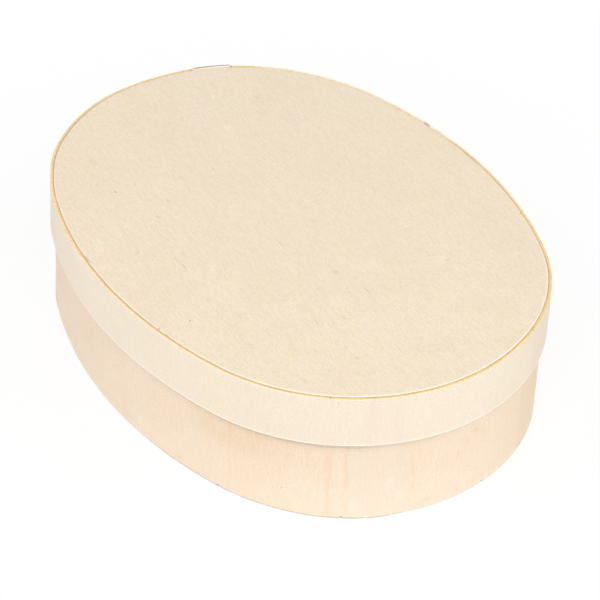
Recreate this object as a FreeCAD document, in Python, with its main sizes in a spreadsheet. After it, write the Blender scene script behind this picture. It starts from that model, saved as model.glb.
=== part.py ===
import FreeCAD, Part
import math
import os

import Sketcher

# Oval bentwood box with a lift-off lid, in millimetres.
# +Z is up, +X runs along the oval, and the origin is the middle of the foot.
# Every outline is a four-centre oval: an arc at each end and a flatter arc along each side.

# Driving sizes
sizes = {
    "lid_length": 200.0,  # outside, over the lid's band
    "lid_width": 149.0,  # outside, over the lid's band
    "side_radius": 159.0,  # of the lid band's outer face, along each side
    "lid_depth": 19.5,  # of the lid's band
    "band_thickness": 1.1,  # of both bent strips
    "box_height": 48.5,  # of the box's band, foot to rim
    "top_thickness": 2.5,  # of the lid's panel
    "bottom_thickness": 2.5,  # of the box's panel
    "lid_clearance": 0.45,  # all round, between the box and the lid
    "glue_line": 0.15,  # all round, between a panel and its band
    "top_proud": 0.2,  # of the lid's panel above its band
    "arris_round": 0.4,  # of the lid panel's upper edge
    "foot_round": 0.3,  # of the bottom panel's lower edge
    "lap_seat": 0.5,  # how deep a lap's outer layer is modelled into the band under it
    "lid_lap_fade": 8.0,  # degrees from the -X end to where the lid's lap leaves the oval
    "lid_lap_peak": 24.5,  # degrees to where it stands most proud
    "lid_lap_end": 26.0,  # degrees to the strip's outer end
    "lid_lap_proud": 0.8,  # at the peak
    "lid_lap_step": 0.65,  # left at the strip's outer end
    "box_lap_fade": 52.0,  # degrees from the +X end to where the box's lap leaves the oval
    "box_lap_peak": 22.0,  # degrees to where it stands most proud
    "box_lap_end": 14.5,  # degrees to the strip's outer end, which is pared thin
    "box_lap_proud_foot": 0.9,  # at the peak, at the foot
    "box_lap_proud_rim": 0.2,  # at the peak, at the rim, inside the lid's clearance
    "box_lap_step": 0.1,  # left at the strip's outer end
}

# What fits inside what, as insets from the lid band's outer face
box_inset = "Sizes.band_thickness + Sizes.lid_clearance"
top_inset = "Sizes.band_thickness + Sizes.glue_line"
bottom_inset = box_inset + " + Sizes.band_thickness + Sizes.glue_line"

# Heights, stacked up from the foot: the lid's panel rests on the box's rim
lid_band_foot = "Sizes.box_height + Sizes.top_thickness - Sizes.top_proud - Sizes.lid_depth"

# The radius round each end, which makes the end arcs run smoothly into the side arcs
end_radius = (
    "(Sizes.side_radius * Sizes.lid_width - Sizes.lid_width ^ 2 / 4 - Sizes.lid_length ^ 2 / 4)"
    " / (2 * Sizes.side_radius - Sizes.lid_length)"
)

# A sketch counts its two axes down from -1, and the points of a line or an arc up from 1
axis_h, axis_v = range(-1, -3, -1)
start, end, centre = range(1, 4)

doc = FreeCAD.newDocument("oval_box")
sheet = doc.addObject("Spreadsheet::Sheet", "Sizes")
for row, (name, value) in enumerate(sizes.items(), start=1):
    sheet.set(f"A{row}", name)
    sheet.set(f"B{row}", str(value))
    sheet.setAlias(f"B{row}", name)
doc.recompute()


def number(expression):
    """The value of an expression on the sheet, for a sketch's first guess."""
    return float(sheet.evalExpression(expression))


def new_body(label, height="0"):
    body = doc.addObject("PartDesign::Body", label)
    body.Label = label
    body.setExpression("Placement.Base.z", height)
    return body


def plane_of(body, role):
    return next(f for f in body.Origin.OriginFeatures if f.Role == role)


def new_sketch(body, name, height="0"):
    """A sketch on the body's ground plane, raised by height."""
    sketch = body.newObject("Sketcher::SketchObject", name)
    sketch.AttachmentSupport = [(plane_of(body, "XY_Plane"), "")]
    sketch.MapMode = "FlatFace"
    sketch.setExpression("AttachmentOffset.Base.z", height)
    return sketch


def pin(sketch, kind, where, expression):
    """Adds one dimension to a sketch and ties it to the sheet."""
    index = sketch.addConstraint(Sketcher.Constraint(kind, *where, number(expression)))
    sketch.setExpression(f"Constraints[{index}]", expression)


def turn(sketch, line, expression):
    """Sets a line's direction, in degrees from +X, and ties it to the sheet."""
    angle = math.radians(number(expression))
    index = sketch.addConstraint(Sketcher.Constraint("Angle", axis_h, start, line, start, angle))
    sketch.setExpression(f"Constraints[{index}]", f"({expression}) * 1 deg")


def oval(inset):
    """Half length, half width, end radius, side radius and the angle where the arcs meet."""
    length = number(f"Sizes.lid_length / 2 - ({inset})")
    width = number(f"Sizes.lid_width / 2 - ({inset})")
    end_r = number(f"{end_radius} - ({inset})")
    side_r = number(f"Sizes.side_radius - ({inset})")
    meet = math.atan2(side_r - width, length - end_r)
    return length, width, end_r, side_r, meet


def arc(sketch, x, y, radius, first, last):
    circle = Part.Circle(FreeCAD.Vector(x, y, 0), FreeCAD.Vector(0, 0, 1), radius)
    return sketch.addGeometry(Part.ArcOfCircle(circle, first, last), False)


def line(sketch, first, last, construction=False):
    ends = [FreeCAD.Vector(x, y, 0) for x, y in (first, last)]
    return sketch.addGeometry(Part.LineSegment(*ends), construction)


def join(sketch, *pairs):
    for first, first_point, second, second_point in pairs:
        sketch.addConstraint(
            Sketcher.Constraint("Coincident", first, first_point, second, second_point)
        )


def quarter_arcs(sketch, inset):
    """The +X+Y quarter of an oval: an end arc and a side arc that meet tangent."""
    length, width, end_r, side_r, meet = oval(inset)
    end_arc = arc(sketch, length - end_r, 0, end_r, 0, meet)
    side_arc = arc(sketch, 0, width - side_r, side_r, meet, math.pi / 2)
    sketch.addConstraint(Sketcher.Constraint("Tangent", end_arc, end, side_arc, start))
    return end_arc, side_arc


def dress_quarter(sketch, end_arc, side_arc, inset):
    """Centres and open ends on the axes, and the oval's three sizes."""
    for piece, point, axis in (
        (end_arc, centre, axis_h),
        (end_arc, start, axis_h),
        (side_arc, centre, axis_v),
        (side_arc, end, axis_v),
    ):
        sketch.addConstraint(Sketcher.Constraint("PointOnObject", piece, point, axis))
    pin(sketch, "DistanceX", (axis_h, start, end_arc, start), f"Sizes.lid_length / 2 - ({inset})")
    pin(sketch, "DistanceY", (axis_h, start, side_arc, end), f"Sizes.lid_width / 2 - ({inset})")
    pin(sketch, "Radius", (side_arc,), f"Sizes.side_radius - ({inset})")


def quarter_ring(body, inset):
    """A quarter of a band seen from above: outer arcs, inner arcs and two short ends."""
    sketch = new_sketch(body, body.Label + "_outline")
    outer_end, outer_side = quarter_arcs(sketch, inset)
    inner_end, inner_side = quarter_arcs(sketch, f"{inset} + Sizes.band_thickness")
    length, width, *_ = oval(inset)
    thickness = sizes["band_thickness"]
    on_x = line(sketch, (length - thickness, 0), (length, 0))
    on_y = line(sketch, (0, width), (0, width - thickness))
    join(
        sketch,
        (on_x, start, inner_end, start),
        (on_x, end, outer_end, start),
        (on_y, start, outer_side, end),
        (on_y, end, inner_side, end),
        (inner_end, centre, outer_end, centre),
        (inner_side, centre, outer_side, centre),
    )
    dress_quarter(sketch, outer_end, outer_side, inset)
    sketch.addConstraint(Sketcher.Constraint("PointOnObject", on_y, end, axis_v))
    pin(sketch, "Distance", (on_x,), "Sizes.band_thickness")
    sketch.addConstraint(Sketcher.Constraint("Horizontal", on_x))
    return sketch


def quarter_panel(body, inset):
    """A quarter of a panel seen from above: two arcs closed along the axes."""
    sketch = new_sketch(body, body.Label + "_outline")
    end_arc, side_arc = quarter_arcs(sketch, inset)
    length, width, *_ = oval(inset)
    on_x = line(sketch, (0, 0), (length, 0))
    on_y = line(sketch, (0, width), (0, 0))
    join(
        sketch,
        (on_x, start, axis_h, start),
        (on_x, end, end_arc, start),
        (on_y, start, side_arc, end),
        (on_y, end, on_x, start),
    )
    dress_quarter(sketch, end_arc, side_arc, inset)
    return sketch


def pad(body, sketch, height):
    feature = body.newObject("PartDesign::Pad", sketch.Name + "_pad")
    feature.Profile = sketch
    feature.setExpression("Length", height)
    return feature


def mirror_round(body, feature):
    """The quarter copied across both middle planes, for the whole oval."""
    whole = body.newObject("PartDesign::MultiTransform", body.Label + "_whole")
    mirrors = []
    for role in ("YZ_Plane", "XZ_Plane"):
        mirrored = body.newObject("PartDesign::Mirrored", f"{body.Label}_across_{role}")
        mirrored.MirrorPlane = (plane_of(body, role), [""])
        mirrors.append(mirrored)
    whole.Originals = [feature]
    whole.Transformations = mirrors
    body.Tip = whole
    doc.recompute()
    return whole


def lap_sketch(body, name, side, lap, proud, inset, height="0"):
    """The outer layer of a strip's lapped ends, on the end arc at +X (side 1) or -X (side -1).

    It leaves the oval at the fade angle, stands proud at the peak and is pared down to a step
    at the strip's outer end. Its inner face lies inside the band, which it is glued to.
    """
    sketch = new_sketch(body, name, height)
    length, _, end_r, _, _ = oval(inset)
    middle = side * (length - end_r)
    axis = 0 if side > 0 else 180

    def angle(place):
        return f"{axis} - Sizes.{lap}_{place}"

    def spot(place, radius):
        turned = math.radians(number(angle(place)))
        return middle + radius * math.cos(turned), radius * math.sin(turned)

    proud_r = end_r + number(proud)
    step_r = end_r + sizes[f"{lap}_step"]
    seat_r = end_r - sizes["lap_seat"]
    fade, peak, tail = (math.radians(number(angle(p))) for p in ("fade", "peak", "end"))
    # The bulge is tangent to the oval at the fade, so its centre is on that radius.
    shift = (proud_r**2 - end_r**2) / (2 * (end_r - proud_r * math.cos(peak - fade)))
    hub = (middle - shift * math.cos(fade), -shift * math.sin(fade))
    top = spot("peak", proud_r)
    foot = spot("fade", end_r)
    swing = [math.atan2(y - hub[1], x - hub[0]) for x, y in (top, foot)]
    forward = tail > fade
    first, last = (swing[1], swing[0]) if forward else (swing[0], swing[1])
    bulge = arc(sketch, *hub, end_r + shift, first, last)
    at_fade, at_peak = (start, end) if forward else (end, start)
    seat = arc(sketch, middle, 0, seat_r, *sorted((fade, tail)))
    seat_fade, seat_tail = (start, end) if forward else (end, start)
    paring = line(sketch, top, spot("end", step_r))
    cut = line(sketch, spot("end", step_r), spot("end", seat_r))
    root = line(sketch, spot("fade", seat_r), foot)
    rays = [line(sketch, (middle, 0), p, True) for p in (foot, top, spot("end", step_r))]
    join(
        sketch,
        (bulge, at_peak, paring, start),
        (paring, end, cut, start),
        (cut, end, seat, seat_tail),
        (seat, seat_fade, root, start),
        (root, end, bulge, at_fade),
        *((ray, start, seat, centre) for ray in rays),
        (rays[0], end, bulge, at_fade),
        (rays[1], end, paring, start),
        (rays[2], end, paring, end),
    )
    for piece, point, ray in ((bulge, centre, rays[0]), (root, start, rays[0]), (cut, end, rays[2])):
        sketch.addConstraint(Sketcher.Constraint("PointOnObject", piece, point, ray))
    sketch.addConstraint(Sketcher.Constraint("PointOnObject", seat, centre, axis_h))
    middle_x = f"{side} * (Sizes.lid_length / 2 - {end_radius})"
    pin(sketch, "DistanceX", (axis_h, start, seat, centre), middle_x)
    oval_r = f"{end_radius} - ({inset})"
    pin(sketch, "Radius", (seat,), f"{oval_r} - Sizes.lap_seat")
    pin(sketch, "Distance", (rays[0],), oval_r)
    pin(sketch, "Distance", (rays[1],), f"{oval_r} + {proud}")
    pin(sketch, "Distance", (rays[2],), f"{oval_r} + Sizes.{lap}_step")
    for ray, place in zip(rays, ("fade", "peak", "end")):
        turn(sketch, ray, angle(place))
    return sketch


def band(label, inset, depth, foot="0"):
    body = new_body(label, foot)
    mirror_round(body, pad(body, quarter_ring(body, inset), depth))
    return body


def panel(label, inset, thickness, foot="0"):
    body = new_body(label, foot)
    mirror_round(body, pad(body, quarter_panel(body, inset), thickness))
    return body


def round_rim(body, height, radius):
    """Rounds the outline's edges that lie at one height of a panel."""
    level = number(height)
    base = body.Tip
    rim = [
        f"Edge{i}"
        for i, piece in enumerate(base.Shape.Edges, start=1)
        if all(abs(v.Z - level) < 1e-6 for v in piece.Vertexes)
    ]
    feature = body.newObject("PartDesign::Fillet", body.Label + "_rounded")
    feature.Base = (base, rim)
    feature.setExpression("Radius", radius)
    body.Tip = feature
    doc.recompute()
    return feature


def make_lid_band():
    body = band("lid_band", "0", "Sizes.lid_depth", lid_band_foot)
    outline = lap_sketch(body, "lid_lap", -1, "lid_lap", "Sizes.lid_lap_proud", "0")
    body.Tip = pad(body, outline, "Sizes.lid_depth")
    return body


def make_lid_top():
    body = panel("lid_top", top_inset, "Sizes.top_thickness", "Sizes.box_height")
    round_rim(body, "Sizes.top_thickness", "Sizes.arris_round")
    return body


def make_box_band():
    body = band("box_band", box_inset, "Sizes.box_height")
    foot = lap_sketch(
        body, "box_lap_foot", 1, "box_lap", "Sizes.box_lap_proud_foot", box_inset
    )
    rim = lap_sketch(
        body, "box_lap_rim", 1, "box_lap", "Sizes.box_lap_proud_rim", box_inset, "Sizes.box_height"
    )
    lap = body.newObject("PartDesign::AdditiveLoft", "box_lap")
    lap.Profile = foot
    lap.Sections = [rim]
    lap.Ruled = True
    body.Tip = lap
    return body


def make_box_bottom():
    body = panel("box_bottom", bottom_inset, "Sizes.bottom_thickness")
    round_rim(body, "0", "Sizes.foot_round")
    return body


pieces = [make_lid_band(), make_lid_top(), make_box_band(), make_box_bottom()]
doc.recompute()

# Nothing is written unless every object computed and every piece is one valid solid.
for item in doc.Objects:
    if {"Invalid", "Error"} & set(item.State):
        raise RuntimeError(f"{item.Name} did not compute: {item.State}")
for piece in pieces:
    shape = piece.Shape
    if shape.isNull() or not shape.isValid() or len(shape.Solids) != 1:
        raise RuntimeError(f"{piece.Label} is not one valid solid")

os.makedirs("parts", exist_ok=True)
for piece in pieces:
    piece.Shape.exportStep(f"parts/{piece.Label}.step")
    box = piece.Shape.BoundBox
    print(
        f"{piece.Label}: {box.XLength:.2f} x {box.YLength:.2f} x {box.ZLength:.2f} mm,",
        f"z {box.ZMin:.2f} to {box.ZMax:.2f}, {piece.Shape.Volume / 1000:.2f} cm3",
    )
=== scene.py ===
import math
import bpy
import mathutils
import numpy as np
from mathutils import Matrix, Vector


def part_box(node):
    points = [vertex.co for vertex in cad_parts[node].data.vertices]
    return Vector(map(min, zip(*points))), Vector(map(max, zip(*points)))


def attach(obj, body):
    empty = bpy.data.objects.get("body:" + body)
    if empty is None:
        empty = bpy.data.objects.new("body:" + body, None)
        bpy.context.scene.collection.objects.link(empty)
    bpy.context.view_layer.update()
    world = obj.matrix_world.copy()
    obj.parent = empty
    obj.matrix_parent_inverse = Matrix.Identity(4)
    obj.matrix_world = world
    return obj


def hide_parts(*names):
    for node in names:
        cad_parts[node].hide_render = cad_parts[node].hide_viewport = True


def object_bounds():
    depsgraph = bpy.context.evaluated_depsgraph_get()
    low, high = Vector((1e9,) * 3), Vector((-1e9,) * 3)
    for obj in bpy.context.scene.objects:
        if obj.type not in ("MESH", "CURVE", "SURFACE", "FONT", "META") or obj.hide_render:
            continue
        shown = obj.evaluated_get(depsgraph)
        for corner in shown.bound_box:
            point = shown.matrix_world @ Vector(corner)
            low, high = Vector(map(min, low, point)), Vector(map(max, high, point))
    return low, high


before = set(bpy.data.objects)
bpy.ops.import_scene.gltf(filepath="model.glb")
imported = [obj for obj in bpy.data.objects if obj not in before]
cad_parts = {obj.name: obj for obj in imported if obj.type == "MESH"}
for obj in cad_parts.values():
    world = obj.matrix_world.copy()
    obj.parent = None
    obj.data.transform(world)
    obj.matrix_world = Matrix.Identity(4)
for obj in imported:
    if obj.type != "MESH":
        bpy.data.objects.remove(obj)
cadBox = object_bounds()
mm = 0.001
turn = 2 * math.pi
print("frame loaded:", sorted(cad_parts))


# Shader building

class Wire:
    # one output of a shader node; arithmetic on it adds Math nodes beside it
    def __init__(self, finish, socket):
        self.finish = finish
        self.socket = socket

    def __add__(self, other):
        return self.finish.reckon("ADD", self, other)

    def __radd__(self, other):
        return self.finish.reckon("ADD", other, self)

    def __sub__(self, other):
        return self.finish.reckon("SUBTRACT", self, other)

    def __rsub__(self, other):
        return self.finish.reckon("SUBTRACT", other, self)

    def __mul__(self, other):
        return self.finish.reckon("MULTIPLY", self, other)

    def __rmul__(self, other):
        return self.finish.reckon("MULTIPLY", other, self)

    def __abs__(self):
        return self.finish.reckon("ABSOLUTE", self)


class Finish:
    # a material, or the world, while its nodes are being laid
    def __init__(self, name, kind=bpy.data.materials):
        self.owner = kind.new(name)
        self.owner.use_nodes = True
        self.tree = self.owner.node_tree
        self.tree.nodes.clear()

    def node(self, kind, settings=None, values=None, output=0):
        # one node, its settings first and then its sockets, which take values or wires
        made = self.tree.nodes.new(kind)
        for name, setting in (settings or {}).items():
            setattr(made, name, setting)
        for socket, value in (values or {}).items():
            if isinstance(value, Wire):
                self.tree.links.new(value.socket, made.inputs[socket])
            else:
                made.inputs[socket].default_value = value
        return Wire(self, made.outputs[output]) if made.outputs else None

    def reckon(self, operation, first, second=0.0):
        return self.node("ShaderNodeMath", {"operation": operation}, {0: first, 1: second})

    def attribute(self, name, output="Vector"):
        return self.node("ShaderNodeAttribute", {"attribute_name": name}, output=output)

    def stretched(self, coords, perMetre):
        return self.node("ShaderNodeVectorMath", {"operation": "MULTIPLY"}, {0: coords, 1: perMetre})

    def axis(self, coords, name):
        return self.node("ShaderNodeSeparateXYZ", values={0: coords}, output=name)

    def noise(self, coords, perMetre, detail=2.0, roughness=0.5, wander=0.0):
        values = {
            "Vector": self.stretched(coords, perMetre),
            "Scale": 1.0,
            "Detail": detail,
            "Roughness": roughness,
            "Distortion": wander,
        }
        return self.node("ShaderNodeTexNoise", values=values)

    def ramp(self, value, low, high):
        # 0 below low, 1 above high, and a smooth step between
        settings = {"interpolation_type": "SMOOTHSTEP"}
        return self.node("ShaderNodeMapRange", settings, {0: value, 1: low, 2: high})

    def blend(self, mask, under, over):
        return self.node("ShaderNodeMix", {"data_type": "RGBA"}, {0: mask, 6: under, 7: over}, output=2)

    def spot(self, coords, centre, size):
        # 1 at the centre, fading to 0 at one size away from it, with its own size on each axis
        away = self.node("ShaderNodeVectorMath", {"operation": "SUBTRACT"}, {0: coords, 1: centre})
        shares = self.stretched(away, tuple(1 / s for s in size))
        distance = self.node("ShaderNodeVectorMath", {"operation": "LENGTH"}, {0: shares}, output=1)
        return 1 - self.ramp(distance, 0.2, 1.0)

    def finished(self, colour, roughness, height, depth):
        bumped = self.node("ShaderNodeBump", values={"Strength": 1.0, "Distance": depth, "Height": height})
        wood = self.node(
            "ShaderNodeBsdfPrincipled",
            values={"Base Color": colour, "Roughness": roughness, "Normal": bumped, "IOR": 1.42},
        )
        self.node("ShaderNodeOutputMaterial", values={"Surface": wood})
        return self.owner


def tone(red, green, blue):
    # a screen colour from 0 to 255, as the linear colour that a shader takes
    shares = np.array([red, green, blue]) / 255
    linear = np.where(shares > 0.04045, ((shares + 0.055) / 1.055) ** 2.4, shares / 12.92)
    return (*linear.tolist(), 1.0)


# The oval that every outline follows

lidLow, lidHigh = (np.array(corner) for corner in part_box("lid_band"))
boxLow, boxHigh = (np.array(corner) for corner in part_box("box_band"))
topLow, topHigh = (np.array(corner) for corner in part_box("lid_top"))
bottomLow, bottomHigh = (np.array(corner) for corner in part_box("box_bottom"))

oval = {
    "halfLength": lidHigh[0],  # of the lid's outer face
    "halfWidth": lidHigh[1],
    "sideRadius": 159 * mm,
    "bandThickness": 1.1 * mm,
    "step": 0.8 * mm,  # between points along the outline
    "footFade": 1.5,  # the power with which a swell of the foot fades out towards the rim
    # Where hand bending pushed the strips out or drew them in: facing and spread in degrees, then how far
    "handBend": [
        (24, 18, -0.40 * mm),
        (122, 15, -0.62 * mm),
        (161, 8, 0.34 * mm),
        (200, 10, 0.36 * mm),
        (242, 7, -0.38 * mm),
    ],
}
# The same for the box's foot alone, fading out towards the lid
footSwells = [
    (24, 16, 0.42 * mm),
    (243, 8, 0.85 * mm),
    (290, 9, -0.15 * mm),
    (353, 9, 0.35 * mm),
]
sideRadius = oval["sideRadius"]
halfLength = oval["halfLength"]
halfWidth = oval["halfWidth"]
endRadius = (2 * sideRadius * halfWidth - halfWidth**2 - halfLength**2) / (2 * sideRadius - 2 * halfLength)
endCentre = halfLength - endRadius
sideCentre = sideRadius - halfWidth
meet = math.atan2(sideCentre, endCentre)

# Where the arcs meet, over three turns: the facing there, and the distance round the lid's outline
arcTurns = np.tile([2 * meet, math.pi - 2 * meet], 6)
arcLengths = arcTurns * np.tile([endRadius, sideRadius], 6)
meetFacings = np.concatenate([[0], np.cumsum(arcTurns)]) - meet - turn
meetDistances = np.concatenate([[0], np.cumsum(arcLengths)]) - meet * endRadius - arcLengths[:4].sum()
perimeter = arcLengths[:4].sum()


def facingAt(distance):
    # the facing grows evenly with distance along each arc
    return np.interp(distance, meetDistances, meetFacings)


def distanceAt(facing):
    # the same table read the other way
    return np.interp(facing, meetFacings, meetDistances)


def ovalPoint(facing, out):
    # the centre of the arc that faces that way, plus the arc's radius and the offset along the facing
    away = (facing + math.pi) % turn - math.pi
    onRight = np.abs(away) < meet
    onLeft = np.abs(away) > math.pi - meet
    onEnd = onRight | onLeft
    x = np.where(onRight, endCentre, np.where(onLeft, -endCentre, 0))
    y = np.where(onEnd, 0, np.where(away > 0, -sideCentre, sideCentre))
    radius = np.where(onEnd, endRadius, sideRadius) + out
    return x + radius * np.cos(facing), y + radius * np.sin(facing)


def bell(gap, spread):
    # a bell curve: 1 in the middle, about a third at one spread away
    return np.exp(-((gap / spread) ** 2))


def bendOut(facing, swells):
    # the sum of a bell curve for each swell, by how far the facing is from its own
    total = np.zeros_like(facing)
    for at, spread, out in swells:
        gap = (facing - math.radians(at) + math.pi) % turn - math.pi
        total = total + out * bell(gap, math.radians(spread))
    return total


def ripple(distance, seed):
    # an uneven wave between about -1 and 1: sines of unlike lengths, started by the seed
    lengths = np.array([11.0, 4.7, 2.3, 1.3]) * mm
    shares = np.array([0.4, 0.3, 0.2, 0.1])
    starts = seed * np.array([1.0, 2.3, 4.1, 7.7])
    return (shares * np.sin(distance[..., None] * turn / lengths + starts)).sum(-1)


def stationsAlong(first, last, spots, closeCount=33):
    # even steps along the outline, with much closer ones around each spot
    even = np.arange(first, last, oval["step"])
    close = [np.linspace(spot - reach, spot + reach, closeCount) for spot, reach in spots]
    every = np.concatenate([even, *close, [first, last]])
    return np.unique(np.round(every[(every >= first) & (every <= last)], 6))


def meshPiece(name, points, faces, smoothBelow=40):
    # a mesh from numpy points and face lists, with edges sharper than an angle kept crisp
    mesh = bpy.data.meshes.new(name)
    mesh.from_pydata(points.reshape(-1, 3).tolist(), [], faces)
    mesh.update()
    mesh.polygons.foreach_set("use_smooth", np.ones(len(mesh.polygons), bool))
    mesh.set_sharp_from_angle(angle=math.radians(smoothBelow))
    piece = bpy.data.objects.new(name, mesh)
    bpy.context.scene.collection.objects.link(piece)
    return piece


def addAttribute(piece, name, kind, values):
    layer = piece.data.attributes.new(name, kind, "POINT")
    field = "vector" if kind == "FLOAT_VECTOR" else "value"
    layer.data.foreach_set(field, values.astype(np.float32).ravel())


def gridQuads(index):
    # the four corners of every cell of a grid of point numbers
    corners = (index[:-1, :-1], index[1:, :-1], index[1:, 1:], index[:-1, 1:])
    return np.stack([corner.ravel() for corner in corners], axis=1).tolist()


# Bent strips: the lid's band and the box's band

def easedRows(height, footEase, rimEase, between):
    # the rows of a strip's face from foot to rim: a quarter circle at each edge and even rows between
    # each row has its share of the height, its lift from there, its inset and how far it is on a cut edge
    swing = np.radians([0, 22, 45, 67, 90])
    corner = 1 - np.sin(swing)
    rise = 1 - np.cos(swing)
    clear = 1.6  # how far the even rows keep from each edge, in eases
    middle = np.linspace(clear * footEase, height - clear * rimEase, between) / height
    shares = np.concatenate([np.zeros(len(swing)), middle, np.ones(len(swing))])
    lifts = np.concatenate([footEase * rise, np.zeros(between), -rimEase * rise[::-1]])
    insets = np.concatenate([footEase * corner, np.zeros(between), rimEase * corner[::-1]])
    cut = np.concatenate([corner, np.zeros(between), corner[::-1]])
    return shares, lifts, insets, cut


def bentStrip(name, strip, low, high):
    # a strip wound once round the oval, its last stretch lying over its first
    thickness = oval["bandThickness"]
    outerEnd = distanceAt(math.radians(strip["outerEnd"]))
    innerEnd = distanceAt(math.radians(strip["innerEnd"]))
    first, last = min(outerEnd, innerEnd), max(outerEnd, innerEnd)
    lap = last - first - perimeter
    endReach = 6 * mm  # how far round each end the points stand closer
    spots = [(end, endReach) for end in (first, last, first + lap, last - lap)]
    nicks = []
    for at, edge, width, deep in strip["nicks"]:
        place = distanceAt(math.radians(at))
        place = place + perimeter * (place < first) - perimeter * (place > last)
        nicks.append((place, edge, width, deep))
        spots.append((place, 3 * width))
    distance = stationsAlong(first, last, spots)[:, None]
    facing = facingAt(distance)
    height = high[2] - low[2]
    shares, lifts, insets, cut = easedRows(height, strip["footEase"], strip["rimEase"], strip["rows"])

    # The cut edges wander a little, and nicks bite into them
    rim = high[2] - strip["waver"] * (1 + ripple(distance, 1.0)) / 2
    foot = low[2] + strip["waver"] * (1 + ripple(distance, 2.0)) / 2
    for place, edge, width, deep in nicks:
        bite = deep * bell(distance - place, width)
        rim = rim - bite * (edge == "rim")
        foot = foot + bite * (edge == "foot")

    # How far the outer face stands off the oval along the lap, at the foot and at the rim
    fromOuter = np.abs(distance - outerEnd)
    fromInner = np.abs(distance - innerEnd)
    places = [place for place, _, _ in strip["proud"]]
    proudFoot = np.interp(fromOuter, places, [out for _, out, _ in strip["proud"]])
    proudRim = np.interp(fromOuter, places, [out for _, _, out in strip["proud"]])
    z = foot * (1 - shares) + rim * shares
    upShare = np.clip((z - low[2]) / height, 0, 1)
    outer = proudFoot + (proudRim - proudFoot) * upShare

    # Under the lap the inner layer thins towards its own end, and the outer layer rests on it
    pared = thickness * (1 - strip["innerTip"])
    underLap = np.clip(1 - fromInner / lap, 0, 1)
    outer = outer - pared * underLap * (fromInner < lap)
    overLap = np.clip(fromOuter / lap, 0, 1)
    settle = np.clip((fromOuter - lap) / strip["settle"], 0, 1)
    rest = -pared * overLap - (thickness - pared) * settle
    inner = np.where(fromOuter < lap + strip["settle"], rest + strip["glue"] * (1 - settle), -thickness)
    wall = outer - inner
    mostEase = 0.42  # of a thin wall's thickness, so that its two corners never meet
    ease = np.minimum(1, mostEase * wall / max(strip["footEase"], strip["rimEase"]))
    innerEase = ease * strip["innerEase"]

    bend = bendOut(facing, oval["handBend"]) - strip["inset"]
    bend = bend + bendOut(facing, strip["footBend"]) * (1 - upShare) ** oval["footFade"]
    outerFace = (bend + outer - insets * ease, z + lifts * ease)
    innerFace = (bend + inner + insets * innerEase, z + lifts * innerEase)
    grid = []
    for offset, level in (outerFace, innerFace):
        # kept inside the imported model's box
        x, y = ovalPoint(facing, offset)
        x = np.clip(x, cadBox[0][0], cadBox[1][0])
        y = np.clip(y, cadBox[0][1], cadBox[1][1])
        grid.append(np.stack([x, y, level], axis=-1))
    # round the section: up the outer face, then down the inner face
    points = np.concatenate([grid[0], grid[1][:, ::-1]], axis=1)

    index = np.arange(points.shape[0] * points.shape[1]).reshape(points.shape[:2])
    closed = np.concatenate([index, index[:, :1]], axis=1)
    faces = gridQuads(closed)
    rows = len(shares)
    for end, flip in ((index[0], True), (index[-1], False)):
        cap = np.stack([end[:rows], end[rows:][::-1]], axis=1)
        faces += gridQuads(cap if flip else cap[:, ::-1])
    piece = meshPiece(name, points, faces)

    # The strip's own coordinates, as if it were laid flat: along it, through it and up it
    flat = np.zeros(points.shape)
    flat[..., 0] = distance
    flat[..., 1] = np.concatenate([insets * ease, (wall - insets * innerEase)[:, ::-1]], axis=1)
    flat[..., 2] = points[..., 2]
    addAttribute(piece, "flat", "FLOAT_VECTOR", flat)
    edges = np.broadcast_to(np.concatenate([cut, cut[::-1]]), points.shape[:2])
    addAttribute(piece, "cutEdge", "FLOAT", edges)
    print(name, "strip", round(float(last - first) / mm), "mm long, lap", round(float(lap) / mm, 1), "mm")
    return piece


lidStrip = {
    "outerEnd": 154.4,  # degrees the outline faces there
    "innerEnd": 154 + 360 + 12,  # a turn further on, and then the lap
    # from the outer end: distance, then how far the outer face stands off the oval at foot and rim
    "proud": [
        (0 * mm, 0.78 * mm, 0.78 * mm),
        (1.2 * mm, 0.66 * mm, 0.66 * mm),
        (13 * mm, 0.50 * mm, 0.50 * mm),
        (17 * mm, 0.12 * mm, 0.12 * mm),
        (21 * mm, 0, 0),
    ],
    "innerTip": 0.45,  # the inner layer's thickness at its end, as a share of the strip's
    "settle": 4 * mm,  # how far past that end the outer layer comes down
    "glue": 0.04 * mm,
    "footEase": 0.45 * mm,
    "rimEase": 0.2 * mm,
    "innerEase": 0.2,  # as a share of the outer corners'
    "waver": 0.06 * mm,
    "rows": 12,
    "inset": 0,  # how far the strip lies inside the lid's outline
    "footBend": [(242, 6, 0.4 * mm)],
    # facing in degrees, which edge, width and depth
    "nicks": [
        (207.6, "rim", 1.6 * mm, 0.2 * mm),
        (104.1, "rim", 0.6 * mm, 0.25 * mm),
        (99.3, "rim", 1.7 * mm, -0.12 * mm),  # a raised splinter
        (97.9, "rim", 0.8 * mm, 0.15 * mm),
        (76.7, "rim", 0.5 * mm, 0.2 * mm),
        (33.2, "rim", 0.5 * mm, 0.25 * mm),
        (31.6, "rim", 0.4 * mm, 0.2 * mm),
        (323.3, "rim", 0.4 * mm, 0.15 * mm),
        (331, "rim", 0.6 * mm, 0.1 * mm),
        (336, "foot", 0.4 * mm, 0.2 * mm),
        (330.5, "foot", 0.5 * mm, 0.1 * mm),
    ],
}
lidBand = bentStrip("lidBand", lidStrip, lidLow, lidHigh)

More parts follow.
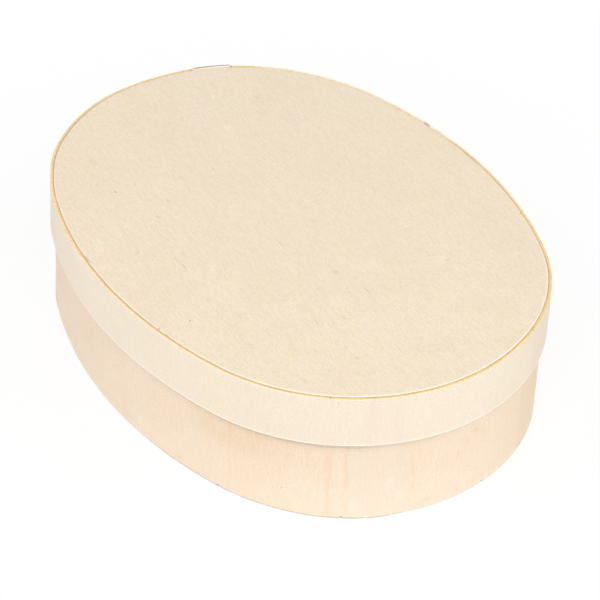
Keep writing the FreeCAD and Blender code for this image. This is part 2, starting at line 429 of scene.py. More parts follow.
boxStrip = {
    "outerEnd": 360 - 14.5,
    "innerEnd": -33,  # a turn before the outer end, and then the lap
    "proud": [
        (0 * mm, 0.16 * mm, 0.12 * mm),
        (4 * mm, 0.32 * mm, 0.08 * mm),
        (7 * mm, 0.80 * mm, 0.08 * mm),
        (11 * mm, 0.96 * mm, 0.08 * mm),
        (19.5 * mm, 0.90 * mm, 0.08 * mm),
        (21.5 * mm, 0.72 * mm, 0.08 * mm),
        (27 * mm, 0.70 * mm, 0.08 * mm),
        (36 * mm, 0.40 * mm, 0.06 * mm),
        (44 * mm, 0.10 * mm, 0.02 * mm),
        (50 * mm, 0, 0),
    ],
    "innerTip": 0.4,
    "settle": 5 * mm,
    "glue": 0.04 * mm,
    "footEase": 0.2 * mm,
    "rimEase": 0.18 * mm,
    "innerEase": 0.6,
    "waver": 0.07 * mm,
    "rows": 18,
    "inset": halfLength - boxHigh[0],
    "footBend": footSwells,
    "nicks": [
        (327.9, "foot", 0.5 * mm, 0.35 * mm),
        (333.4, "foot", 1.1 * mm, 0.12 * mm),
        (334.6, "foot", 0.7 * mm, 0.15 * mm),
        (306, "foot", 1.0 * mm, 0.15 * mm),
        (297, "foot", 1.3 * mm, 0.15 * mm),
        (11.4, "foot", 0.6 * mm, 0.2 * mm),
        (31.5, "foot", 0.7 * mm, 0.3 * mm),
        (40, "rim", 0.8 * mm, 0.2 * mm),
        (215, "rim", 1.2 * mm, 0.2 * mm),
    ],
}
boxBand = bentStrip("boxBand", boxStrip, boxLow, boxHigh)


# Panels let in flush: the lid's top and the box's bottom

def letInPanel(name, panel, low, high):
    # a profile carried round the oval: out along the underside, up the edge, and back in along the top
    thickness = high[2] - low[2]
    spots = []
    nicks = []
    for at, width, deep in panel["nicks"]:
        place = distanceAt(math.radians(at)) % perimeter
        nicks.append((place, width, deep))
        spots.append((place, 3 * width))
    distance = stationsAlong(0, perimeter, spots)[:-1, None]
    facing = facingAt(distance)
    swing = np.radians([0, 18, 36, 54, 72, 90])
    # the flat's rings as shares of the outline; one more, at full size, keeps it level up to the rounding
    rings = np.array([0.02, 0.2, 0.4, 0.6, 0.75, 0.86, 0.93, 0.97, 0.99])
    flats = len(rings) + 1
    corner = len(swing)
    hold = 0.5 * mm  # how far inside the rounding that one lies

    def edgeRows(ease):
        # from the face to the edge: the flat, a quarter circle, then two rows down to the glue
        insets = np.concatenate([np.ones(flats), 1 - np.sin(swing), [0, 0]]) * ease
        insets = insets + np.concatenate([np.full(flats, hold), np.zeros(corner), [0, -panel["glue"]]])
        drops = np.concatenate([np.zeros(flats), 1 - np.cos(swing), [1, 1]]) * ease
        ledge = [0.8 * panel["glueDrop"], panel["glueDrop"]]
        drops = drops + np.concatenate([np.zeros(flats + corner), ledge])
        return insets, drops

    uneven = 1 + panel["uneven"] * ripple(distance, 3.0)
    insetLow, dropLow = edgeRows(panel["lowerEase"] * uneven)
    insetHigh, dropHigh = edgeRows(panel["upperEase"] * uneven)
    inset = np.concatenate([insetLow, insetHigh[:, ::-1]], axis=1)
    z = np.concatenate([low[2] + dropLow, high[2] - dropHigh[:, ::-1]], axis=1)
    ringScale = np.concatenate([rings, np.ones(1 + corner + 2)])
    scale = np.concatenate([ringScale, ringScale[::-1]])
    edgeShare = np.concatenate([np.zeros(flats), 0.25 + 0.75 * np.sin(swing), [1, 1]])
    edge = np.concatenate([edgeShare, edgeShare[::-1]])

    # nicks bite down into the upper third of the edge, and a little inwards
    for place, width, deep in nicks:
        bite = deep * bell(distance - place, width)
        nearTop = np.clip((z - low[2]) / thickness * 3 - 2, 0, 1) * (scale == 1)
        z = z - bite * nearTop * np.clip(1 - (inset - panel["upperEase"]) / hold, 0, 1)
        inset = inset + panel["nickIn"] * bite * edge * nearTop

    out = bendOut(facing, oval["handBend"] + panel["footBend"]) - panel["inset"] - inset
    x, y = ovalPoint(facing, out)
    points = np.stack([x * scale, y * scale, z + np.zeros_like(x)], axis=-1)
    index = np.arange(points.shape[0] * points.shape[1]).reshape(points.shape[:2])
    closed = np.concatenate([index, index[:1]], axis=0)
    faces = gridQuads(closed)
    count = index.size
    under, over = closed[:, 0], closed[:, -1]
    faces += np.stack([np.full(len(under) - 1, count), under[1:], under[:-1]], axis=1).tolist()
    faces += np.stack([np.full(len(over) - 1, count + 1), over[:-1], over[1:]], axis=1).tolist()
    middle = np.array([[0, 0, low[2]], [0, 0, high[2]]])
    piece = meshPiece(name, np.concatenate([points.reshape(-1, 3), middle]), faces)
    rounding = np.broadcast_to(edge, points.shape[:2]).ravel()
    addAttribute(piece, "cutEdge", "FLOAT", np.concatenate([rounding, [0, 0]]))
    print(name, "panel", len(faces), "faces")
    return piece


lidPanel = {
    "inset": halfLength - topHigh[0],
    "upperEase": 0.34 * mm,  # sanded round by hand
    "lowerEase": 0.12 * mm,
    "uneven": 0.2,  # how much the rounding varies round the panel
    "nickIn": 0.6,  # how far a nick goes inwards, as a share of its depth
    "glue": 0.12 * mm,  # how far the glue line stands out from the panel's edge
    "glueDrop": 0.14 * mm,  # and how far under the rounding it starts
    "footBend": [],
    # facing in degrees, width and depth
    "nicks": [
        (76.9, 0.8 * mm, 0.3 * mm),
        (104.2, 0.6 * mm, 0.3 * mm),
        (281.6, 0.9 * mm, 0.3 * mm),
        (283.2, 0.5 * mm, 0.25 * mm),
        (338, 0.5 * mm, 0.15 * mm),
    ],
}
lidTop = letInPanel("lidTop", lidPanel, topLow, topHigh)

bottomPanel = {
    "inset": halfLength - bottomHigh[0],
    "upperEase": 0.12 * mm,
    "lowerEase": 0.3 * mm,
    "uneven": 0.2,
    "nickIn": 0.6,
    "glue": 0.12 * mm,
    "glueDrop": 0.14 * mm,
    "footBend": footSwells,
    "nicks": [],
}
boxBottom = letInPanel("boxBottom", bottomPanel, bottomLow, bottomHigh)


# Finishes

# how many features a metre holds: along the strip, through it and up it
stripGrain = {
    "bands": (38, 0, 5),
    "clouds": (80, 0, 55),
    "tints": (760, 300, 520),
    "fibres": (1300, 500, 150),
    "grit": (2300, 1500, 1900),
    "flecks": (1900, 700, 230),
    "broken": (700, 0, 130),
}


def stripFinish(name, strip, look):
    # a thin peeled strip: its grain upright, its cut edges stained, its marks placed by facing and height
    wood = Finish(name)
    flat = wood.attribute("flat")
    along = wood.axis(flat, "X")
    deep = wood.axis(flat, "Y")
    up = wood.axis(flat, "Z")
    cut = wood.attribute("cutEdge", "Fac")
    outerEnd = float(distanceAt(math.radians(strip["outerEnd"])))
    innerEnd = float(distanceAt(math.radians(strip["innerEnd"])))
    first, last = min(outerEnd, innerEnd), max(outerEnd, innerEnd)
    lap = last - first - perimeter

    def place(at):
        # the distance along the strip of a facing, on the outer layer where there are two
        spot = float(distanceAt(math.radians(at)))
        return spot + perimeter * (spot < first) - perimeter * (spot > last)

    def stretch(start, stop, soft):
        # 1 between two facings
        begin, close = place(start), place(stop)
        begun = wood.ramp(along, begin - soft, begin + soft)
        return begun * (1 - wood.ramp(along, close - soft, close + soft))

    # broad upright bands, soft clouds, tints, fibres, grit and short dark flecks
    # a ramp's two numbers say where in the noise its tone starts and where it is full
    bands = wood.noise(flat, stripGrain["bands"])
    clouds = wood.noise(flat, stripGrain["clouds"], detail=3.0)
    tints = wood.noise(flat, stripGrain["tints"])
    fibres = wood.noise(flat, stripGrain["fibres"], detail=3.0, roughness=0.6)
    grit = wood.noise(flat, stripGrain["grit"], roughness=0.6)
    flecks = wood.ramp(wood.noise(flat, stripGrain["flecks"], detail=1.0), 0.66, 0.8)
    broken = wood.noise(flat, stripGrain["broken"], detail=3.0, roughness=0.65)
    shade = wood.blend(wood.ramp(bands, 0.36, 0.62) * look["bandShare"], look["pale"], look["warm"])
    shade = wood.blend(wood.ramp(clouds, 0.42, 0.7) * look["cloudShare"], shade, look["flush"])
    shade = wood.blend(wood.ramp(tints, 0.35, 0.65) * look["tintShare"], shade, look["butter"])
    shade = wood.blend((1 - wood.ramp(tints, 0.3, 0.55)) * look["rosyShare"], shade, look["rosy"])
    shade = wood.blend(wood.ramp(fibres, 0.35, 0.7) * look["fibreShare"], shade, look["fibre"])
    shade = wood.blend(wood.ramp(grit, 0.35, 0.7) * look["gritShare"], shade, look["fibre"])
    shade = wood.blend(flecks * look["fleckShare"], shade, look["fleck"])

    # tinted zones, then stains that follow the grain and break up along it; some zones and one wide stain
    # on the box are painted shade
    for start, stop, share, stain in look["zones"]:
        shade = wood.blend(stretch(start, stop, 0.7 * mm) * share, shade, look[stain])
    for at, width, lowest, highest, share, stain in look["stains"]:
        ragged = abs(along - place(at)) + (broken - 0.5) * 0.6 * mm
        column = 1 - wood.ramp(ragged, width * 0.1, width * 1.1)
        reach = wood.ramp(up, lowest - 3 * mm, lowest + 3 * mm)
        reach = reach * (1 - wood.ramp(up, highest - 4 * mm, highest + 4 * mm))
        shade = wood.blend(column * reach * wood.ramp(broken, 0.25, 0.6) * share, shade, look[stain])
    # paler towards the foot: painted light from the floor
    shade = wood.blend((1 - wood.ramp(up, *look["paintedFloorLightReach"])) * look["paintedFloorLightShare"], shade, look["line"])

    # cut edges: a darker line near the inside, and a painted highlight where the corners are eased
    stained = wood.ramp(deep + (tints - 0.5) * 0.3 * mm, *look["stainDepth"])
    stained = stained * (1 - stretch(*look["cleanFacings"], 8 * mm) * look["cleanShare"])
    edge = look["edge"]
    for start, stop, share, stain in look["edgeZones"]:
        edge = wood.blend(stretch(start, stop, 3 * mm) * share, edge, look[stain])
    clean = (1 - wood.ramp(deep, *look["frontDepth"])) * stretch(*look["frontFacings"], 8 * mm)
    edge = wood.blend(clean * look["frontShare"], edge, look["line"])
    edge = wood.blend(stained * 0.65, edge, look["edgeInner"])
    edge = wood.blend(wood.ramp(fibres, 0.45, 0.7) * 0.3, edge, look["edgeDark"])
    overLap = 1 - wood.ramp(abs(along - outerEnd), lap * 0.85, lap * 1.1)
    underLap = 1 - wood.ramp(abs(along - innerEnd), lap * 0.98, lap * 1.02)
    edge = wood.blend(overLap, edge, look["edgeOver"])
    edge = wood.blend(underLap, edge, look["edgeUnder"])
    shade = wood.blend(wood.ramp(cut, 0.35, 0.75), shade, edge)
    arris = wood.ramp(cut, 0.02, 0.2) * (1 - wood.ramp(cut, 0.3, 0.6))
    shade = wood.blend(arris * look["arrisHighlightShare"], shade, look["arris"])
    # the lowest eased corner is darkened: painted shade along the lid's lower edge, and a darker foot on
    # the box
    nearFoot = 1 - wood.ramp(up, look["foot"] + 1 * mm, look["foot"] + 2 * mm)
    corner = wood.ramp(cut, 0, 0.12) * nearFoot
    for start, stop, share, stain in look["footZones"]:
        shade = wood.blend(corner * stretch(start, stop, 12 * mm) * share, shade, look[stain])

    # lines round the strip, then single marks; the lines at the lid's lower edge are a painted highlight
    # on the lid and painted shade on the box below it
    for height, width, start, stop, share, stain in look["lines"]:
        line = (1 - wood.ramp(abs(up - height), width * 0.6, width)) * stretch(start, stop, 12 * mm)
        shade = wood.blend(line * (0.6 + 0.4 * wood.ramp(broken, 0.3, 0.6)) * share, shade, look[stain])
    for at, height, wide, tall, share, stain in look["patches"]:
        mark = wood.spot(flat, (place(at), 0, height), (wide, 1.0, tall))
        shade = wood.blend(mark * share * wood.ramp(broken, 0.2, 0.6), shade, look[stain])
    for at, height, size, share in look["specks"]:
        mark = wood.spot(flat, (place(at), 0, height), (size, 1.0, size))
        shade = wood.blend(mark * share, shade, look["speck"])

    roughness = look["roughness"] + (fibres - 0.5) * 0.25 + cut * 0.15
    height = fibres * 0.6 + grit * 0.4 - flecks * 0.4
    return wood.finished(shade, roughness, height, look["grainDepth"])


# the same for a panel: along the oval, across it and through it
panelGrain = {
    "mottle": (26, 42, 60),
    "patches": (95, 150, 200),
    "tints": (340, 1250, 500),
    "streaks": (230, 2300, 700),
    "grit": (1500, 2900, 1500),
    "dashes": (150, 1900, 700),
}


def panelFinish(name, look):
    # a flat panel, its grain along the oval: mottling, fine streaks, grit, short dashes and placed marks
    wood = Finish(name)
    place = wood.node("ShaderNodeTexCoord", output="Object")
    cut = wood.attribute("cutEdge", "Fac")
    mottle = wood.noise(place, panelGrain["mottle"])
    patches = wood.noise(place, panelGrain["patches"], detail=3.0)
    tints = wood.noise(place, panelGrain["tints"], roughness=0.6)
    streaks = wood.noise(place, panelGrain["streaks"], detail=3.0, roughness=0.6, wander=0.1)
    grit = wood.noise(place, panelGrain["grit"], roughness=0.6)
    dashes = wood.ramp(wood.noise(place, panelGrain["dashes"], detail=1.0), 0.68, 0.8)
    shade = wood.blend(wood.ramp(mottle, 0.36, 0.64) * look["mottleShare"], look["pale"], look["warm"])
    shade = wood.blend(wood.ramp(patches, 0.45, 0.7) * look["patchShare"], shade, look["flush"])
    shade = wood.blend(wood.ramp(tints, 0.35, 0.65) * look["tintShare"], shade, look["butter"])
    shade = wood.blend((1 - wood.ramp(tints, 0.3, 0.5)) * look["rosyShare"], shade, look["rosy"])
    shade = wood.blend(wood.ramp(streaks, 0.35, 0.7) * look["streakShare"], shade, look["streak"])
    shade = wood.blend(wood.ramp(grit, 0.35, 0.7) * look["gritShare"], shade, look["streak"])
    shade = wood.blend(dashes * look["dashShare"], shade, look["dash"])

    # the rounding gets a painted highlight on the front, most of all to the right where the light falls,
    # and painted shade at the back
    x = wood.axis(place, "X")
    y = wood.axis(place, "Y")
    ahead, aside = look["ahead"], look["aside"]
    front = wood.ramp(x * ahead[0] + y * ahead[1], -55 * mm, -10 * mm)
    right = wood.ramp(x * aside[0] + y * aside[1], -35 * mm, 10 * mm)
    paintedEdgeLight = wood.blend(right, look["arrisLeft"], look["arris"])
    paintedEdgeLight = wood.blend(front, look["paintedBackShade"], paintedEdgeLight)
    arris = wood.ramp(cut, 0.1, 0.4) * (1 - wood.ramp(cut, 0.85, 0.97))
    shade = wood.blend(arris * look["arrisHighlightShare"], shade, paintedEdgeLight)
    shade = wood.blend(wood.ramp(cut, 0.95, 1.0), shade, look["edge"])
    for markX, markY, wide, tall, share, stain in look["marks"]:
        centre = (markX * mm, markY * mm, look["faceHeight"])
        mark = wood.spot(place, centre, (wide * mm, tall * mm, 1 * mm))
        shade = wood.blend(mark * share, shade, look[stain])

    roughness = look["roughness"] + (streaks - 0.5) * 0.25
    height = streaks * 0.6 + grit * 0.4 - dashes * 0.4
    return wood.finished(shade, roughness, height, look["grainDepth"])


def dress(piece, finish, body, node):
    # its finish, the body it moves with and the plain solid it stands in for
    piece.data.materials.append(finish)
    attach(piece, body)
    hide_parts(node)


lidStripLook = {
    "pale": tone(251, 241, 224),
    "warm": tone(249, 236, 216),
    "flush": tone(247, 233, 217),
    "butter": tone(248, 236, 203),
    "rosy": tone(248, 227, 216),
    "fibre": tone(230, 211, 186),
    "fleck": tone(212, 184, 156),
    "rose": tone(240, 217, 201),
    "line": tone(252, 244, 228),
    "speck": tone(120, 84, 66),
    "edge": tone(248, 216, 154),
    "edgePale": tone(252, 234, 190),
    "edgeDeep": tone(235, 201, 132),
    "edgeRust": tone(216, 164, 104),
    "edgeInner": tone(212, 174, 120),
    "edgeDark": tone(206, 156, 92),
    "edgeOver": tone(186, 158, 144),
    # painted shade along the lid's lower edge and just under it on the box, also a few dark marks at the
    # rim
    "paintedShadeAndGrime": tone(170, 130, 108),
    "edgeUnder": tone(254, 248, 232),
    # painted highlight on the eased corners of the cut edges
    "arris": tone(255, 254, 248),
    # painted highlight along the lid's lower edge
    "paintedEdgeLight": tone(255, 250, 236),
    "foot": lidLow[2],
    "roughness": 0.62,
    "paintedFloorLightReach": (2 * mm, 24 * mm),  # the painted floor light near the foot fades out between these heights
    "paintedFloorLightShare": 0,
    "bandShare": 0.6,
    "cloudShare": 0.42,
    "tintShare": 0.52,
    "rosyShare": 0.42,
    "fibreShare": 0.2,
    "gritShare": 0.55,
    "fleckShare": 0.15,
    "arrisHighlightShare": 0.5,
    "stainDepth": (0.68 * mm, 0.92 * mm),  # through the strip, where the inner stain of a cut edge starts
    "cleanFacings": (94, 148),  # first and last, in degrees
    "cleanShare": 0.8,  # how much of that stain is missing at the back
    "frontFacings": (262, 350),
    "frontDepth": (0.15 * mm, 0.5 * mm),
    "frontShare": 0.75,  # how clean the outer part of the cut edge is at the front
    "grainDepth": 0.02 * mm,
    # first and last facing in degrees, share and stain
    # the darker zone from 391 to 410 degrees is painted shade
    "zones": [(246, 270, 0.16, "line"), (391, 410, 0.22, "fibre")],
    "edgeZones": [
        (94, 146, 1.0, "edgePale"),
        (5, 92, 0.4, "edgeDeep"),
        (55.4, 56.8, 0.5, "edgeRust"),
        (262, 352, 0.75, "edgeDeep"),
        (146, 153.4, 0.8, "edgeDeep"),
    ],
    # painted shade on the lid's lower corner, strongest at the front
    "footZones": [(150, 520, 0.25, "paintedShadeAndGrime"), (268, 338, 0.6, "paintedShadeAndGrime")],
    # facing, half width, lowest and highest point, share and stain
    "stains": [
        (360 - 25.2, 4.2 * mm, 28 * mm, 56 * mm, 0.42, "rose"),
        (360 - 18.7, 4.8 * mm, 28 * mm, 56 * mm, 0.3, "rose"),
        (360 - 22.6, 0.4 * mm, 28 * mm, 56 * mm, 0.25, "line"),
        (360 - 58.8, 1.6 * mm, 28 * mm, 56 * mm, 0.2, "rose"),
        (62, 2.4 * mm, 28 * mm, 56 * mm, 0.25, "rose"),
        (118, 3.0 * mm, 28 * mm, 56 * mm, 0.2, "rose"),
        (206, 2.2 * mm, 28 * mm, 56 * mm, 0.25, "rose"),
    ],
    # height, half width, first and last facing, share and stain
    "lines": [
        # a painted highlight along the lid's lower edge, fainter at the back
        (31.95 * mm, 0.34 * mm, 155, 260, 0.4, "paintedEdgeLight"),
        (31.95 * mm, 0.34 * mm, 262, 514, 1.0, "paintedEdgeLight"),
    ],
    "patches": [
        (99.3, 50.9 * mm, 2.4 * mm, 0.4 * mm, 0.75, "paintedShadeAndGrime"),
        (104.1, 50.7 * mm, 0.8 * mm, 0.5 * mm, 0.7, "edgeRust"),
        (91.3, 50.8 * mm, 0.9 * mm, 0.5 * mm, 0.5, "edgeRust"),
        (207.6, 50.8 * mm, 2.4 * mm, 0.5 * mm, 0.4, "edgeInner"),
        (154.0, 50.8 * mm, 0.45 * mm, 0.5 * mm, 1.0, "paintedShadeAndGrime"),
    ],
    # facing, height, size and share
    "specks": [
        (360 - 34.5, 49.2 * mm, 0.4 * mm, 0.4),
        (360 - 41.4, 40.2 * mm, 0.3 * mm, 0.3),
        (360 - 31.1, 42.7 * mm, 0.28 * mm, 0.25),
        (360 - 88.3, 48.2 * mm, 0.35 * mm, 0.28),
        (360 - 71.8, 42.0 * mm, 0.25 * mm, 0.3),
        (360 - 36.7, 50.7 * mm, 0.4 * mm, 0.25),
        (360 - 30.3, 50.7 * mm, 0.4 * mm, 0.15),
        (360 - 25.1, 50.7 * mm, 0.4 * mm, 0.2),
        (30.5, 50.6 * mm, 0.4 * mm, 0.5),
        (336, 31.2 * mm, 0.5 * mm, 0.7),
        (140, 38.0 * mm, 0.3 * mm, 0.5),
        (196, 44.0 * mm, 0.28 * mm, 0.5),
    ],
}
dress(lidBand, stripFinish("lidStripWood", lidStrip, lidStripLook), "lid", "lid_band")

boxStripLook = dict(
    lidStripLook,
    pale=tone(251, 238, 222),
    warm=tone(250, 231, 209),
    flush=tone(248, 225, 202),
    butter=tone(248, 230, 199),
    fibre=tone(230, 202, 169),
    fleck=tone(208, 172, 138),
    ochre=tone(234, 196, 150),
    ash=tone(240, 225, 206),
    rosy=tone(250, 219, 201),
    footDarkening=tone(176, 156, 136),
    edge=tone(246, 216, 166),
    edgeInner=tone(206, 160, 108),
    edgeOver=tone(238, 214, 180),
    edgeUnder=tone(248, 232, 208),
    foot=boxLow[2],
    cloudShare=0.5,
    tintShare=0.54,
    rosyShare=0.4,
    fibreShare=0.24,
    gritShare=0.6,
    # painted light from the floor, paler towards the foot
    paintedFloorLightShare=0.18,
    arrisHighlightShare=0.2,
    cleanShare=0,
    frontShare=0,
    footZones=[(150, 520, 0.15, "footDarkening"), (262, 345, 0.9, "footDarkening")],
    # the darker zone from 389 to 410 degrees is painted shade
    zones=[(329.1, 345.4, 0.4, "ash"), (389, 410, 0.2, "fibre")],
    edgeZones=[],
    stains=[
        (360 - 31.5, 1.3 * mm, 2 * mm, 52 * mm, 0.24, "ochre"),
        (360 - 36.1, 1.8 * mm, -4 * mm, 52 * mm, 0.27, "ochre"),
        (360 - 41.8, 1.6 * mm, 18 * mm, 52 * mm, 0.15, "ochre"),
        (360 - 47.7, 1.4 * mm, 18 * mm, 52 * mm, 0.13, "ochre"),
        (360 - 65.2, 1.2 * mm, -4 * mm, 52 * mm, 0.17, "ochre"),
        (360 - 70.6, 1.1 * mm, 6 * mm, 52 * mm, 0.12, "ochre"),
        (360 - 86, 3.0 * mm, -4 * mm, 12 * mm, 0.18, "ochre"),
        (360 - 95, 3.0 * mm, 10 * mm, 26 * mm, 0.12, "ochre"),
        (58, 2.0 * mm, -4 * mm, 52 * mm, 0.18, "ochre"),
        (100, 1.6 * mm, -4 * mm, 52 * mm, 0.18, "ochre"),
        (131, 2.6 * mm, -4 * mm, 52 * mm, 0.21, "ochre"),
        (205, 1.8 * mm, -4 * mm, 52 * mm, 0.18, "ochre"),
        # this wide stain high up at the front is painted shade under the lid's edge
        (360 - 64, 26 * mm, 20 * mm, 60 * mm, 0.3, "ochre"),
    ],
    lines=[
        (0.35 * mm, 0.3 * mm, 280, 345, 0.5, "footDarkening"),
        (29.9 * mm, 0.5 * mm, -33, 345.5, 0.08, "ochre"),  # painted shade just under the lid's edge
        # painted shade just under the lid's edge, stronger at the front
        (29.9 * mm, 0.5 * mm, 255, 338, 0.12, "paintedShadeAndGrime"),
    ],
    patches=[
        (360 - 19.5, 14.5 * mm, 2.4 * mm, 2.0 * mm, 0.3, "line"),
        (360 - 16.5, 7.5 * mm, 2.0 * mm, 4.0 * mm, 0.3, "line"),
        (360 - 29, 6.0 * mm, 2.2 * mm, 5.0 * mm, 0.2, "line"),
        (360 - 25.4, 0.9 * mm, 0.8 * mm, 0.6 * mm, 1.0, "arris"),
        (360 - 12.5, 11 * mm, 0.9 * mm, 2.6 * mm, 0.5, "ochre"),
        (360 - 12.8, 18 * mm, 1.2 * mm, 5 * mm, 0.3, "ochre"),
        (7, 25.5 * mm, 2.4 * mm, 1.6 * mm, 0.35, "ochre"),
        (4.5, 22 * mm, 1.2 * mm, 1.4 * mm, 0.3, "ochre"),
        (1.5, 19 * mm, 0.8 * mm, 2.4 * mm, 0.3, "ochre"),
        (11, 18.5 * mm, 1.4 * mm, 1.4 * mm, 0.25, "ochre"),
        (360 - 8, 3.5 * mm, 2.0 * mm, 1.4 * mm, 0.35, "ochre"),
    ],
    specks=[
        (360 - 48.9, 9.8 * mm, 0.3 * mm, 0.6),
        (360 - 28, 30.0 * mm, 0.3 * mm, 0.3),
        (360 - 32.1, 0.35 * mm, 0.75 * mm, 0.9),
        (360 - 69.0, 0.5 * mm, 0.55 * mm, 0.7),
        (11.4, 0.3 * mm, 0.8 * mm, 0.6),
        (31.5, 0.6 * mm, 0.8 * mm, 0.6),
        (84, 17 * mm, 0.3 * mm, 0.6),
        (171, 22 * mm, 0.35 * mm, 0.5),
        (228, 8 * mm, 0.3 * mm, 0.5),
    ],
)
dress(boxBand, stripFinish("boxStripWood", boxStrip, boxStripLook), "box", "box_band")

lidPanelLook = {
    "pale": tone(242, 229, 208),
    "warm": tone(239, 223, 200),
    "flush": tone(238, 219, 199),
    "butter": tone(240, 225, 192),
    "rosy": tone(240, 217, 203),
    "streak": tone(217, 196, 168),
    "dash": tone(200, 176, 148),
    "smudge": tone(217, 197, 170),
    "rust": tone(222, 192, 146),
    "umber": tone(180, 146, 108),
    "chalk": tone(252, 244, 230),
    "bruise": tone(186, 156, 152),
    "speck": tone(104, 76, 64),
    "edge": tone(218, 176, 140),
    # the rounding's painted highlight to the right and to the left, then its painted shade at the back
    "arris": tone(254, 248, 236),
    "arrisLeft": tone(247, 236, 224),
    "paintedBackShade": tone(204, 186, 178),
    "mottleShare": 0.6,
    "patchShare": 0.24,
    "tintShare": 0.55,
    "streakShare": 0.27,
    "gritShare": 0.45,
    "dashShare": 0.25,
    "rosyShare": 0.36,
    "arrisHighlightShare": 0.9,
    "grainDepth": 0.02 * mm,
    "faceHeight": topHigh[2],
    "roughness": 0.6,
    "ahead": (0.83, -0.55),  # the way that the front faces, in x and y
    "aside": (0.55, 0.83),  # and the way to the right of it
    # x, y, half length and half width in mm, share and stain
    "marks": [
        (-43.5, -45.7, 0.5, 0.4, 0.85, "speck"),
        (30.8, -59.4, 0.45, 0.4, 0.66, "speck"),
        (45.2, 31.8, 0.5, 0.5, 0.56, "umber"),
        (9.0, 36.8, 0.6, 0.4, 0.49, "umber"),
        (-81.9, -26.5, 0.45, 0.4, 0.35, "umber"),
        (74.7, -34.0, 0.5, 0.45, 0.42, "umber"),
        (69.3, -49.8, 0.45, 0.35, 0.42, "umber"),
        (-2.1, -6.0, 0.7, 0.5, 0.43, "dash"),
        (47.5, 11.1, 1.2, 0.35, 0.36, "dash"),
        (46.2, -0.9, 3.2, 0.45, 0.58, "dash"),
        (51.6, -24.3, 2.6, 0.4, 0.5, "dash"),
        (4.7, -46.5, 2.6, 0.45, 0.5, "dash"),
        (0.6, -46.8, 3.0, 0.35, 0.36, "dash"),
        (-10.5, -43.8, 1.5, 0.45, 0.38, "dash"),
        (-23.5, -40.3, 1.5, 0.45, 0.42, "dash"),
        (-38.1, -9.5, 1.7, 0.4, 0.5, "dash"),
        (-49.9, -49.4, 1.3, 0.4, 0.43, "dash"),
        (-1.0, 32.8, 1.9, 0.4, 0.43, "dash"),
        (9.6, -12.0, 4.0, 0.4, 0.43, "dash"),
        (0.3, -15.0, 4.0, 0.3, 0.36, "dash"),
        (-29.9, -32.7, 2.3, 0.9, 0.52, "smudge"),
        (-70.1, 27.6, 2.0, 1.4, 0.34, "smudge"),
        (-79.7, 12.2, 0.9, 0.7, 0.38, "smudge"),
        (-42.1, 13.4, 2.6, 1.6, 0.3, "smudge"),
        (32.4, -4.5, 1.8, 1.4, 0.6, "smudge"),
        (4.4, 4.4, 2.4, 1.4, 0.34, "smudge"),
        (51.2, -49.1, 1.6, 1.0, 0.34, "smudge"),
        (24.6, -48.6, 1.2, 1.0, 0.3, "smudge"),
        (-9.7, -56.1, 1.6, 1.0, 0.4, "smudge"),
        (73.8, -23.1, 1.2, 0.9, 0.64, "rust"),
        (75.2, -43.5, 2.4, 0.9, 0.4, "rust"),
        (49.1, 59.3, 2.4, 0.45, 0.48, "rust"),
        (54.0, -15.6, 2.4, 0.9, 0.4, "rust"),
        (-63.0, -43.8, 4.0, 2.0, 0.24, "rust"),
        (-1.0, -43.5, 2.4, 1.2, 0.28, "rust"),
        (-58.2, 7.8, 3.0, 2.0, 0.24, "chalk"),
        (53.8, 53.8, 1.6, 3.0, 0.2, "chalk"),
        (22.7, 30.6, 0.8, 3.4, 0.3, "chalk"),
        # on the rounding at the front left
        (-14.4, -72.3, 3.6, 0.5, 0.6, "bruise"),
        (29.6, -70.1, 0.9, 0.6, 0.6, "bruise"),
        (33.8, -69.6, 2.0, 0.4, 0.4, "bruise"),
        (54.0, -64.2, 3.4, 0.5, 0.35, "bruise"),
    ],
}
dress(lidTop, panelFinish("lidPanelWood", lidPanelLook), "lid", "lid_top")

bottomPanelLook = dict(
    lidPanelLook,
    pale=tone(245, 230, 206),
    warm=tone(240, 221, 193),
    arrisHighlightShare=0.3,
    faceHeight=bottomHigh[2],
    marks=[
        (22, 18, 0.5, 0.4, 0.7, "speck"),
        (-38, -12, 4.0, 0.5, 0.6, "dash"),
        (47, -30, 3.0, 1.6, 0.5, "smudge"),
        (-12, 41, 5.0, 0.5, 0.5, "rust"),
        (-61, 22, 2.0, 0.4, 0.6, "dash"),
    ],
)
dress(boxBottom, panelFinish("bottomPanelWood", bottomPanelLook), "box", "box_bottom")
print("finishes laid")


# Studio: a pale floor, soft lamps and the camera

studio = {
    "floorSize": 6.0,
    "floorDrop": 0.05 * mm,  # keeps the floor just under the box's foot
    "floorTone": tone(250, 250, 250),
    "shadowReach": 0.26,  # how far from the middle the camera still sees the floor's shadow
    "shadowShare": 0.14,  # how much of it
    "ambient": 0.24,
    # each lamp: its azimuth and elevation in degrees, its distance, its side, its level and its colour
    "lamps": [
        ("leftLamp", -15, 38, 1.5, 0.9, 0.28, (0.985, 0.99, 1.0)),
        ("rightLamp", 122, 38, 1.5, 0.9, 0.32, (1.0, 1.0, 1.0)),
        ("frontLamp", 55, 38, 1.5, 0.9, 0.16, (1.0, 1.0, 1.0)),
        ("topLamp", 56, 62, 1.3, 0.8, 0.375, (1.0, 0.995, 0.985)),
        ("backLamp", 235, 20, 1.9, 1.0, 0.2, (1.0, 1.0, 1.0)),
    ],
}


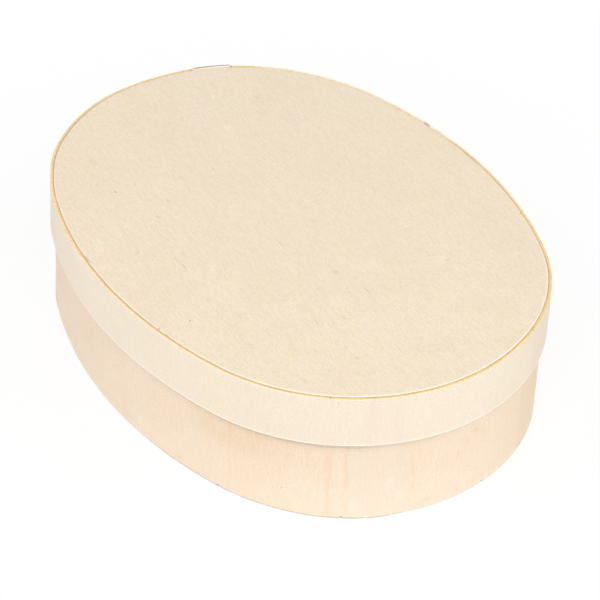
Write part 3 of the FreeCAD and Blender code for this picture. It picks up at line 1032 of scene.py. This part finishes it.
def floorPaint(name):
    # white to the camera, except near the box, where part of the shadow shows
    paint = Finish(name)
    place = paint.node("ShaderNodeTexCoord", output="Object")
    near = paint.spot(place, (0, 0, 0), (studio["shadowReach"], studio["shadowReach"], 1))
    rays = paint.node("ShaderNodeLightPath", output="Is Camera Ray")
    matt = paint.node("ShaderNodeBsdfDiffuse", values={"Color": studio["floorTone"]})
    white = paint.node("ShaderNodeEmission", values={"Color": (1, 1, 1, 1), "Strength": 1.0})
    glow = rays * (1 - near * studio["shadowShare"])
    mixed = paint.node("ShaderNodeMixShader", values={0: glow, 1: matt, 2: white})
    paint.node("ShaderNodeOutputMaterial", values={"Surface": mixed})
    return paint.owner


def layFloor():
    half = studio["floorSize"] / 2
    corners = np.array([[-half, -half, 0], [half, -half, 0], [half, half, 0], [-half, half, 0]])
    floor = meshPiece("floor", corners - [0, 0, studio["floorDrop"]], [[0, 1, 2, 3]])
    floor.data.materials.append(floorPaint("floorPaint"))


def hangLamp(name, azimuth, elevation, distance, side, level, colour):
    # a square lamp that faces the box; at level 1 it alone shows a white face as white
    a, e = math.radians(azimuth), math.radians(elevation)
    lamp = bpy.data.lights.new(name, "AREA")
    lamp.shape = "SQUARE"
    lamp.size = side
    lamp.energy = level * math.pi**2 * distance**2
    lamp.color = colour
    hung = bpy.data.objects.new(name, lamp)
    away = np.array([math.sin(a) * math.cos(e), -math.cos(a) * math.cos(e), math.sin(e)])
    hung.location = distance * away
    hung.rotation_euler = (math.pi / 2 - e, 0, a)
    hung.visible_camera = False
    bpy.context.scene.collection.objects.link(hung)


def paintSky(name):
    # an even soft light; the camera and reflections see plain white
    sky = Finish(name, bpy.data.worlds)
    rays = sky.node("ShaderNodeLightPath", output="Is Camera Ray")
    shine = sky.node("ShaderNodeLightPath", output="Is Glossy Ray")
    seen = sky.reckon("MAXIMUM", rays, shine)
    levels = {"Value": seen, "To Min": studio["ambient"], "To Max": 1.0}
    strength = sky.node("ShaderNodeMapRange", values=levels)
    glow = sky.node("ShaderNodeBackground", values={"Color": (1, 1, 1, 1), "Strength": strength})
    sky.node("ShaderNodeOutputWorld", values={"Surface": glow})
    bpy.context.scene.world = sky.owner


# The photograph's view: where the camera stands and how it is turned
view = {
    "azimuth": 56.37,
    "elevation": 37.79,
    "roll": 2.384,
    "distance": 0.9151,
    "right": 0.0033,  # off the line to the origin, in its own picture plane
    "up": 0.0124,
    "focal": 2597.2,  # in pixels of the 600 wide picture
    "pictureWidth": 600,
    "sensor": 36.0,
    "nearest": 0.01,  # nothing closer than this is drawn
}


def standCamera():
    a, e, r = (math.radians(view[k]) for k in ("azimuth", "elevation", "roll"))
    back = np.array([math.sin(a) * math.cos(e), -math.cos(a) * math.cos(e), math.sin(e)])
    level = np.array([math.cos(a), math.sin(a), 0])
    upright = np.cross(back, level)
    right = math.cos(r) * level + math.sin(r) * upright
    up = math.cos(r) * upright - math.sin(r) * level
    camera = bpy.data.cameras.new("camera")
    camera.sensor_width = view["sensor"]
    camera.lens = view["focal"] * view["sensor"] / view["pictureWidth"]
    camera.clip_start = view["nearest"]
    stand = bpy.data.objects.new("camera", camera)
    turned = np.eye(4)
    turned[:3, 0], turned[:3, 1], turned[:3, 2] = right, up, back
    turned[:3, 3] = back * view["distance"] + right * view["right"] + up * view["up"]
    stand.matrix_world = mathutils.Matrix(turned.tolist())
    bpy.context.scene.collection.objects.link(stand)
    bpy.context.scene.camera = stand


layFloor()
for lampRow in studio["lamps"]:
    hangLamp(*lampRow)
paintSky("softSky")
standCamera()
bpy.context.scene.view_settings.view_transform = "Standard"
print("studio ready")
